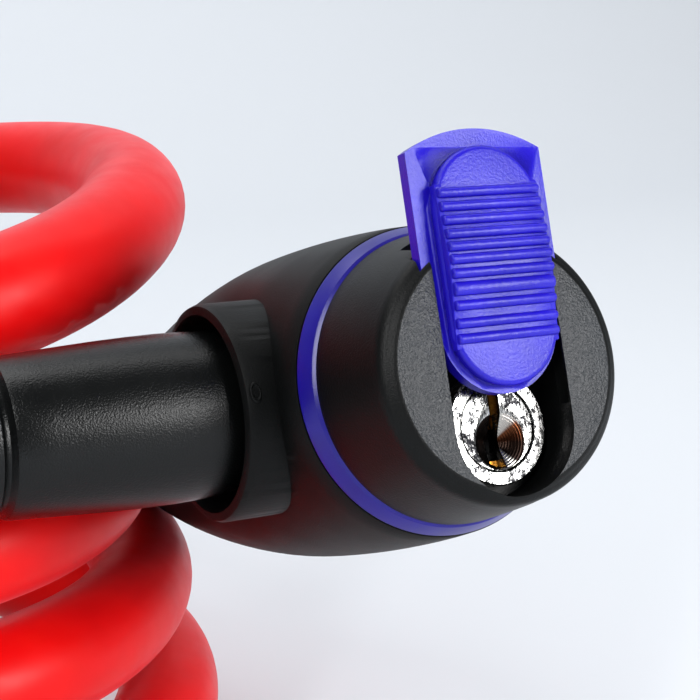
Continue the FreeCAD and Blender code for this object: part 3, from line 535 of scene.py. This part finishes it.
def gate_mark():
    """The scar where the moulding was cut from its runner: a small ring with a torn middle."""
    deselect()
    bpy.ops.mesh.primitive_torus_add(major_radius=0.62 * MM, minor_radius=0.17 * MM, major_segments=36,
                                     minor_segments=10)
    scar = bpy.context.active_object
    scar.name = "gate_mark"
    bpy.ops.object.mode_set(mode="EDIT")
    bpy.ops.transform.resize(value=(0.72, 1.25, 1.0))
    bpy.ops.object.mode_set(mode="OBJECT")
    nub = block("nub", (-0.2, -0.35, -0.3), (0.15, 0.3, 0.14))
    join_shape(scar, nub, "UNION")
    scar.location = GATE
    scar.rotation_euler = (math.radians(-8), 0, 0)
    set_in(scar, FORWARD)
    smooth(scar, 45)
    return dress(scar, shell_finish, "black_abs", "head")


gate_mark()

# %% [markdown]
# ## Accent ring
# A blue ring trapped between shell and cap. Its front edge has a small chamfer that catches light.

# %% Accent ring
def accent_ring():
    ring = turned("accent_ring_moulding", [
        (12.75, 15.57), (13.3, 15.57), (13.66, 15.3), (14.38, 13.8), (14.3, 13.62), (12.75, 13.62),
    ], closed=True)
    soften(ring, 0.06, 2, 30)
    set_in(ring, FORWARD)
    smooth(ring, 25)
    return dress(ring, ring_finish, "blue_abs", "head", "accent_ring")


accent_ring()

# %% [markdown]
# ## Front cap
# A turned nose with a rounded rim. A U channel runs down its face round the key cylinder, and slots
# behind the two cheeks guide the cover. Its cheeks are grained, and their flat faces are painted a lighter grey:
# painted light for the studio lamp they catch.

# %% Front cap
CHANNEL_HALF = 6.05
CHANNEL_FLOOR = 20.6
CHEEK_FROM = 25.2
SLOT_HALF = 7.1
SLOT_BOTTOM = -3.9
HOUSING_FIT = 5.03


def front_cap():
    cap = turned("front_cap_moulding", [
        (2.0, 25.55), (10.7, 25.45), (11.05, 25.35), (11.3, 25.1), (11.5, 25.0), (11.9, 24.75), (12.12, 24.3),
        (12.2, 23.8), (12.45, 22.6), (12.8, 20.4), (13.15, 18.0), (13.4, 16.1), (13.4, 15.6),
        (12.7, 15.6), (12.7, 12.0), (10.5, 12.0), (10.5, 16.2), (2.0, 16.2),
    ])
    bottom = -CYLINDER_DROP
    channel = turned("channel", [(CHANNEL_HALF, CHANNEL_FLOOR), (CHANNEL_HALF, 29.0)], segments=96)
    channel.location = (0, bottom * MM, 0)
    join_shape(cap, channel, "DIFFERENCE")
    way = block("way", (-CHANNEL_HALF, bottom, CHANNEL_FLOOR), (CHANNEL_HALF, 18, 29.0))
    join_shape(cap, way, "DIFFERENCE")
    slots = block("slots", (-SLOT_HALF, SLOT_BOTTOM, 23.8), (SLOT_HALF, 18, 25.2))
    join_shape(cap, slots, "DIFFERENCE")
    seat = turned("seat", [(HOUSING_FIT, 10.0), (HOUSING_FIT, 22.0)], segments=96)
    seat.location = (0, bottom * MM, 0)
    join_shape(cap, seat, "DIFFERENCE")
    soften(cap, 0.22, 3, 40)
    set_in(cap, FORWARD)
    smooth(cap, 38)
    dress(cap, cap_finish, "black_abs", "head", "front_cap")
    # The cheeks' flat faces take the finish with the painted light.
    finish_faces(cap, cheek_painted_light_finish, lambda middle, normal: middle.z > CHEEK_FROM * MM and normal.z > 0.97)
    return cap


front_cap()

# %% [markdown]
# ## Dust cover
# A blue slider: a wide flange that runs in the slots, a narrower neck, and a long pad with ribs for
# the thumb. The pad is highest at its middle. Tongue, neck and pad start as circles whose upper half
# is moved up, which gives a stadium outline.

# %% Dust cover
COVER_BACK = 23.9
FLANGE_FRONT = 25.15
PAD_LOW = -1.9
PAD_HIGH = 19.1
CROWN_RISE = 0.75


def stadium(name, half, low, high, back, front, segments=72):
    """An upright pad with round ends, standing on the bench with its face up."""
    piece = turned(name, [(half, back), (half, front)], segments=segments)
    pick(piece)
    bpy.ops.object.mode_set(mode="EDIT")
    bpy.ops.mesh.select_all(action="DESELECT")
    shape = bmesh.from_edit_mesh(piece.data)
    for vertex in shape.verts:
        vertex.select = vertex.co.y > -0.01 * MM
    shape.select_flush_mode()
    bmesh.update_edit_mesh(piece.data)
    bpy.ops.transform.translate(value=(0, (high - low - 2 * half) * MM, 0))
    bpy.ops.object.mode_set(mode="OBJECT")
    piece.location = (0, (low + half) * MM, 0)
    pick(piece)
    bpy.ops.object.transform_apply(location=True, rotation=False, scale=False)
    return piece


def crown(height):
    """How far the pad's face stands proud at a height, highest a little above its middle."""
    share = height / (PAD_HIGH - PAD_LOW)
    return CROWN_RISE * math.exp(-((share - 0.52) / 0.22) ** 2)


def dust_cover():
    flange = block("dust_cover_moulding", (-6.9, 5.9, COVER_BACK), (6.9, 20.8, FLANGE_FRONT))
    arc = turned("arc", [(13.4, COVER_BACK - 1), (13.4, 27)], segments=200)
    arc.location = (0, (20.8 - 13.4) * MM, 0)
    join_shape(flange, arc, "INTERSECT")
    join_shape(flange, stadium("tongue", 5.95, -2.45, 18.0, COVER_BACK, FLANGE_FRONT), "UNION")
    soften(flange, 0.3, 3, 35)
    neck = stadium("neck", 5.15, PAD_LOW + 0.15, PAD_HIGH - 0.15, 25.0, 25.8)
    pad = stadium("pad", 5.4, PAD_LOW, PAD_HIGH, 25.4, 26.4)
    soften(pad, 0.55, 4, 50)
    for piece in (neck, pad):
        join_shape(flange, piece, "UNION")
    set_in(flange, FORWARD)
    smooth(flange, 35)
    dress(flange, cover_finish, "blue_abs", "cover", "dust_cover")
    return flange


def thumb_ribs():
    """Half-round ribs across the pad. One of them is broad and flat, as a mould repair leaves it."""
    heights = [4.4, 5.7, 7.2, 8.6, 9.9, 11.1, 12.2, 13.3, 14.5, 15.7, 16.9]
    made = []
    for k, height in enumerate(heights):
        broad = 1.35 if k == 3 else 1.0
        rise = crown(height)
        deselect()
        bpy.ops.mesh.primitive_cylinder_add(vertices=28, radius=0.46 * MM, depth=10.3 * MM,
                                            rotation=(0, math.radians(90), 0))
        rib = bpy.context.active_object
        bpy.ops.object.mode_set(mode="EDIT")
        bpy.ops.mesh.select_all(action="SELECT")
        bpy.ops.transform.resize(value=(1, broad, 1.0), orient_type="GLOBAL")
        bpy.ops.object.mode_set(mode="OBJECT")
        bpy.ops.object.transform_apply(location=True, rotation=True, scale=True)
        soften(rib, 0.25, 3, 50)
        rib.location = (0, (PAD_LOW + height) * MM, (26.35 + rise) * MM)
        made.append(rib)
    return made


def pad_crown():
    """The raised middle that carries the ribs: a plate whose rows of points follow the crown."""
    deselect()
    bpy.ops.mesh.primitive_grid_add(x_subdivisions=4, y_subdivisions=60, size=1)
    plate = bpy.context.active_object
    plate.name = "dust_cover_thumb_pad"
    plate.scale = (10.5 * MM, 14.2 * MM, 1)
    plate.location = (0, (PAD_LOW + 10.6) * MM, 26.3 * MM)
    bpy.ops.object.transform_apply(location=True, rotation=True, scale=True)
    bpy.ops.object.mode_set(mode="EDIT")
    bpy.ops.mesh.select_all(action="SELECT")
    bpy.ops.mesh.extrude_region_move(TRANSFORM_OT_translate={"value": (0, 0, -0.8 * MM)})
    bpy.ops.mesh.select_all(action="SELECT")
    bpy.ops.mesh.normals_make_consistent(inside=False)
    bpy.ops.object.mode_set(mode="OBJECT")
    for vertex in plate.data.vertices:
        if vertex.co.z > 26.0 * MM:
            vertex.co.z += crown(vertex.co.y / MM - PAD_LOW) * MM
    soften(plate, 0.15, 2, 50)
    ribs = thumb_ribs()
    pick(plate)
    for rib in ribs:
        rib.select_set(True)
    bpy.ops.object.join()
    set_in(plate, FORWARD)
    smooth(plate, 40)
    return dress(plate, cover_finish, "blue_abs", "cover")


dust_cover()
pad_crown()

# %% [markdown]
# ## Key cylinder
# A chromed housing whose face is flush round the plug. The plug's face has the keyway and an
# off-centre drilled dish with turning marks. Both pieces have slots that the wafers drop into.

# %% Key cylinder
WAFER_COUNT = 4
WAFER_FIRST = 20.4
WAFER_PITCH = 2.6
WAFER_HALF = 2.3
WAFER_REACH = 4.15


def cylinder():
    housing = turned("cylinder_housing_plated", [
        (3.8, 22.5), (3.87, 22.6), (4.85, 22.6), (5.0, 22.45), (5.0, 8.2), (3.8, 8.2),
    ], closed=True, segments=128)
    for wide, tall in ((WAFER_HALF, WAFER_REACH), (WAFER_REACH, WAFER_HALF)):
        join_shape(housing, block("wafer_way", (-wide, -tall, 11.6), (wide, tall, 21.4)), "DIFFERENCE")
    housing.location = (0, -CYLINDER_DROP * MM, 0)
    set_in(housing, FORWARD)
    smooth(housing, 30)
    dress(housing, chrome_finish, "chrome", "head", "cylinder_housing")
    plug = turned("key_plug_plated", [
        (3.0, 22.48), (3.62, 22.48), (3.72, 22.38), (3.72, 8.3), (3.0, 8.3)], segments=128)
    dish_rings = [(0.25, 21.3), (1.2, 21.75), (DISH_RADIUS, 22.50), (DISH_RADIUS, 23.5)]
    dish = turned("dish", dish_rings, segments=96)
    dish.location = (DISH[0] * MM, DISH[1] * MM, 0)
    join_shape(plug, dish, "DIFFERENCE")
    join_shape(plug, block("keyway", (-0.55, -3.5, 9.5), (0.55, 3.5, 24.5)), "DIFFERENCE")
    join_shape(plug, block("ward", (-1.1, -3.3, 9.5), (0.1, -0.9, 22.3)), "DIFFERENCE")
    for k in range(WAFER_COUNT):
        middle = WAFER_FIRST - WAFER_PITCH * k
        slot = block("wafer_slot", (-WAFER_HALF, -4.5, middle - 0.58), (WAFER_HALF, 4.5, middle + 0.58))
        join_shape(plug, slot, "DIFFERENCE")
    soften(plug, 0.05, 2, 40)
    plug.location = (0, -CYLINDER_DROP * MM, 0)
    set_in(plug, FORWARD)
    smooth(plug, 30)
    dress(plug, chrome_finish, "chrome", "plug", "key_plug")
    axis = Vector((DISH[0] * MM, (DISH[1] - CYLINDER_DROP) * MM))
    reach = (DISH_RADIUS - 0.05) * MM
    finish_faces(plug, dish_finish, lambda middle, normal: (
        21.2 * MM < middle.z < 22.46 * MM and (middle.xy - axis).length < reach))
    return plug


cylinder()

# %% [markdown]
# ## Boot
# Hard black plastic moulded over the ferrule, round-nosed where it enters the collar and necked in
# before its end bead. It is turned, and its grain does the rest.

# %% Boot
def boot():
    rings = [(3.52, 13.4), (5.4, 13.4), (6.0, 13.55), (6.7, 14.0), (7.25, 14.7), (7.6, 15.7), (7.8, 17.0),
             (7.92, 19.0), (8.0, 22.0), (7.95, 25.0), (7.85, 28.0), (7.7, 31.0), (7.5, 34.5), (7.32, 37.6),
             (7.2, 37.95), (6.85, 38.15), (6.6, 38.4), (6.6, 38.7), (6.8, 39.0), (7.0, 39.15), (7.02, 39.8),
             (7.0, 42.0), (6.9, 45.2), (6.75, 45.7), (6.4, 46.0), (5.95, 46.0), (5.95, 37.0), (5.25, 36.0),
             (5.25, 17.0), (3.52, 16.0)]
    piece = turned("boot_overmould", rings, closed=True, segments=128)
    set_in(piece, OUTWARD)
    smooth(piece, 40)
    return dress(piece, boot_finish, "black_abs", "plug_end", "boot")


boot()

# %% [markdown]
# ## Cable
# A 12 mm spiral cable: a steel rope in a thick red jacket. Its route is one smooth curve. The lead
# leaves the boot, rounds the coil and makes a loose turn above the stack; the stacked turns come from
# a loop; the tail rises to the head. The jacket and the rope's strands all follow that curve.

# %% The cable's route
LEAD = [
    (-18.2, -50.0, 58.0), (-45.9, -26.5, 60.0), (-52.4, 9.2, 63.0), (-33.4, 39.8, 67.5), (0.0, 46.0, 72.0),
    (26.0, 31.0, 75.5), (37.3, 7.8, 76.5), (32.4, -18.3, 74.0), (13.8, -38.0, 69.0), (-13.8, -38.0, 63.5),
    (-35.0, -20.2, 59.5), (-39.8, 7.0, 56.0), (-26.0, 31.0, 50.5),
]
TAIL_POINTS = [(-24.0, 38.0, 8.0), (9.0, 49.5, 13.5), (31.0, 40.0, 25.0), (43.0, 21.0, 36.3)]
COIL_RADIUS = 38.0
LEAD_ENDS_NEAR = Vector((-0.033, 0.038, 0.067))
STEP = 24
# Where the stacked turns stand: angle in degrees, clockwise from the near side, and height in mm.
STACK_HEIGHTS = [(540, 49.0), (701, 44.4), (1019, 30.4), (1061, 30.0), (1373, 15.4), (1440, 10.5),
                 (1520, 6.3), (1600, 6.2)]
TUCK = {0: 9.5, 1: 3.6}


def stack_height(angle):
    for (low_angle, low), (high_angle, high) in zip(STACK_HEIGHTS, STACK_HEIGHTS[1:]):
        if angle <= high_angle:
            return low + (high - low) * (angle - low_angle) / (high_angle - low_angle)
    return STACK_HEIGHTS[-1][1]


def stack_point(angle):
    """A control point of the stacked turns, which are pushed inwards where they pass the barrel."""
    beside = max(0.0, math.cos(math.radians(angle - 270))) ** 2
    tuck = beside * TUCK.get(int((angle - 540) // 360), 0.0)
    radius = (COIL_RADIUS - tuck) / math.cos(math.radians(STEP / 2))
    spin = math.radians(angle)
    return (-radius * math.sin(spin), -radius * math.cos(spin), stack_height(angle))


stack = [stack_point(angle) for angle in range(540, 540 + 1010, STEP)]
boot_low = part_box("boot")[0]
boot_end = Vector((boot_low.x + 0.2 * MM, pin_middle.y, pin_middle.z))
tail_start = HEAD @ Vector((0, 40 * MM, 0))
lead_points = [boot_end] + [Vector(point) * MM for point in LEAD]
route_points = lead_points + [Vector(point) * MM for point in stack + TAIL_POINTS] + [tail_start]
print("route points", len(route_points))


def nurbs(name, points):
    """A smooth curve with these control points."""
    data = bpy.data.curves.new(name, "CURVE")
    data.dimensions = "3D"
    spline = data.splines.new("NURBS")
    spline.points.add(len(points) - 1)
    for spot, point in zip(spline.points, points):
        spot.co = (*point, 1.0)
    spline.order_u = 3
    spline.use_endpoint_u = True
    spline.resolution_u = 14
    curve = bpy.data.objects.new(name, data)
    bpy.context.collection.objects.link(curve)
    return curve


def read_path(points):
    """The points of the smooth curve, in order."""
    curve = nurbs("route", points)
    bpy.context.view_layer.update()
    line = bpy.data.meshes.new_from_object(curve)
    path = [vertex.co.copy() for vertex in line.vertices]
    bpy.data.objects.remove(curve)
    bpy.data.meshes.remove(line)
    return path


def length_of(path):
    return sum((b - a).length for a, b in zip(path, path[1:]))


path = read_path(route_points)
join_at = min(range(len(path) // 3), key=lambda k: (path[k] - LEAD_ENDS_NEAR).length)
lead_path = path[:join_at + 1]
print("cable length", round(length_of(path) / MM), "mm, lead", round(length_of(lead_path) / MM), "mm")


# %% Frames along the cable
def frames_along(path):
    """A point, a direction and a steady sideways vector at each step of a path."""
    side = None
    made = []
    for k, point in enumerate(path):
        ahead = path[min(k + 1, len(path) - 1)] - path[max(k - 1, 0)]
        ahead.normalize()
        if side is None:
            side = ahead.orthogonal().normalized()
        side = (side - ahead * side.dot(ahead)).normalized()
        made.append((point, ahead, side, ahead.cross(side)))
    return made


all_frames = frames_along(path)


def swept(name, frames, radius, sides, lay=0.0, offset=0.0, phase=0.0, start=0.0):
    """A tube along frames. With an offset it winds round them, one turn in each lay."""
    shape = bmesh.new()
    layer = shape.loops.layers.uv.new("UVMap")
    rings = []
    along = start
    travelled = []
    last = frames[0][0]
    for point, ahead, side, over in frames:
        along += (point - last).length
        last = point
        travelled.append(along)
        turn = phase + (2 * math.pi * along / lay if lay else 0.0)
        middle = point + (side * math.cos(turn) + over * math.sin(turn)) * offset
        ring = []
        for k in range(sides):
            spin = 2 * math.pi * k / sides
            ring.append(shape.verts.new(middle + (side * math.cos(spin) + over * math.sin(spin)) * radius))
        rings.append(ring)
    for row in range(len(rings) - 1):
        for k in range(sides):
            after = (k + 1) % sides
            here, ahead_ring = rings[row], rings[row + 1]
            face = shape.faces.new((here[k], here[after], ahead_ring[after], ahead_ring[k]))
            face.smooth = True
            corners = ((row, k), (row, k + 1), (row + 1, k + 1), (row + 1, k))
            for loop, (step, spoke) in zip(face.loops, corners):
                loop[layer].uv = (travelled[step] * 10, spoke / sides)
    shape.faces.new(list(reversed(rings[0])))
    shape.faces.new(rings[-1])
    bmesh.ops.recalc_face_normals(shape, faces=shape.faces)
    data = bpy.data.meshes.new(name)
    shape.to_mesh(data)
    shape.free()
    piece = bpy.data.objects.new(name, data)
    bpy.context.collection.objects.link(piece)
    return piece


CABLE_RADIUS = 6.0 * MM
STRAND_RADIUS = 1.3 * MM
STRAND_COUNT = 10
STRAND_OFFSET = 4.05 * MM
CORE_RADIUS = 2.6 * MM
ROPE_LAY = 42 * MM


def rope(name, frames, start):
    """Ten outer strands laid round a core. The thick jacket magnifies the rope, so it is drawn wide."""
    strands = [swept(f"{name}_core", frames[::3] + frames[-1:], CORE_RADIUS, 12, start=start)]
    for k in range(STRAND_COUNT):
        phase = 2 * math.pi * k / STRAND_COUNT
        strands.append(swept(f"{name}_{k}", frames, STRAND_RADIUS, 8, ROPE_LAY, STRAND_OFFSET, phase, start))
    pick(strands[0])
    for strand in strands[1:]:
        strand.select_set(True)
    bpy.ops.object.join()
    strands[0].name = name
    return strands[0]


lead_frames = all_frames[:join_at + 1]
main_frames = all_frames[join_at:]
lead_length = length_of(lead_path)
lead_jacket = swept("cable_lead_jacket", lead_frames, CABLE_RADIUS, 40)
main_jacket = swept("cable_jacket", main_frames, CABLE_RADIUS, 40, start=lead_length)
lead_rope = rope("cable_lead_rope", lead_frames, 0.0)
main_rope = rope("cable_rope", main_frames, lead_length)
for piece, material in ((lead_jacket, jacket_finish), (lead_rope, rope_finish)):
    dress(piece, material, "red_pvc", None)
    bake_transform(piece)
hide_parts("cable_lead")
dress(main_jacket, jacket_finish, "red_pvc", "head", "cable_coil", "cable_tail")
dress(main_rope, rope_finish, "red_pvc", "head")

# %% [markdown]
# ## Studio
# A pale floor that curves up into a backdrop, a broad soft light overhead, one from the front right
# that the cap's cheeks mirror, a narrow fill from the left and a wash on the backdrop.

# %% Floor and lights
def studio_floor():
    deselect()
    bpy.ops.mesh.primitive_plane_add(size=6, location=(0.3, -2.45, 0))
    floor = bpy.context.active_object
    floor.name = "studio_floor"
    bpy.ops.object.mode_set(mode="EDIT")
    bpy.ops.mesh.select_all(action="DESELECT")
    shape = bmesh.from_edit_mesh(floor.data)
    for edge in shape.edges:
        edge.select = all(vertex.co.y > 2.9 for vertex in edge.verts)
    bmesh.update_edit_mesh(floor.data)
    for k in range(12):
        tilt = math.radians(7.5 * (k + 0.5))
        step = (0, 0.07 * math.cos(tilt), 0.07 * math.sin(tilt))
        bpy.ops.mesh.extrude_region_move(TRANSFORM_OT_translate={"value": step})
    bpy.ops.mesh.extrude_region_move(TRANSFORM_OT_translate={"value": (0, 0, 3)})
    bpy.ops.object.mode_set(mode="OBJECT")
    material, tree, shader = start_material("seamless_paper_pale", Roughness=0.95, Specular_IOR_Level=0.1)
    shader.inputs["Base Color"].default_value = linear("#DDE1E6")
    floor.data.materials.append(material)
    smooth(floor, 60)


def softbox(name, aim, direction, distance, size, power, colour="#FFFFFF"):
    """An area light that faces a point from a direction."""
    way = Vector(direction).normalized()
    data = bpy.data.lights.new(name, "AREA")
    data.shape = "RECTANGLE"
    data.size, data.size_y = size
    data.energy = power
    data.color = linear(colour)[:3]
    light = bpy.data.objects.new(name, data)
    light.location = Vector(aim) + way * distance
    light.rotation_euler = way.to_track_quat("Z", "Y").to_euler()
    bpy.context.collection.objects.link(light)


studio_floor()
softbox("overhead", head_place, (-0.25, 0.35, 1.0), 1.3, (1.2, 0.8), 6)
softbox("front_right", head_place, (0.47, -0.82, 0.32), 0.8, (0.26, 0.32), 5.5)
softbox("left_fill", head_place, (-0.75, -0.75, 0.75), 1.2, (0.10, 0.8), 8)
softbox("backdrop_wash", (0.75, 1.1, 0.65), (0.0, -0.75, 0.9), 1.2, (2.4, 0.5), 12)
world = bpy.data.worlds.new("studio_world")
world.use_nodes = True
world.node_tree.nodes["Background"].inputs["Color"].default_value = linear("#E9EEF5")
world.node_tree.nodes["Background"].inputs["Strength"].default_value = 0.22
bpy.context.scene.world = world
bpy.context.scene.view_settings.view_transform = "Standard"

# %% [markdown]
# ## Camera
# Close to the lock, a little above it, and turned so that the key side and the socket both show.

# %% Camera
AZIMUTH = math.radians(-28.6)
ELEVATION = math.radians(11.2)
FOCAL = 36 * 1600 / 700
toward = Vector((math.sin(AZIMUTH) * math.cos(ELEVATION), -math.cos(AZIMUTH) * math.cos(ELEVATION),
                 math.sin(ELEVATION)))
right = Vector((math.cos(AZIMUTH), math.sin(AZIMUTH), 0))
above = toward.cross(right)
camera_data = bpy.data.cameras.new("camera")
camera_data.lens = FOCAL
camera_data.sensor_width = 36
camera_data.clip_start = 0.01
camera = bpy.data.objects.new("camera", camera_data)
bpy.context.collection.objects.link(camera)
stand = head_place - right * 1.8 * MM + above * 4.4 * MM + toward * 159.8 * MM
camera.matrix_world = Matrix.Translation(stand) @ Matrix((right, above, toward)).transposed().to_4x4()
bpy.context.scene.camera = camera
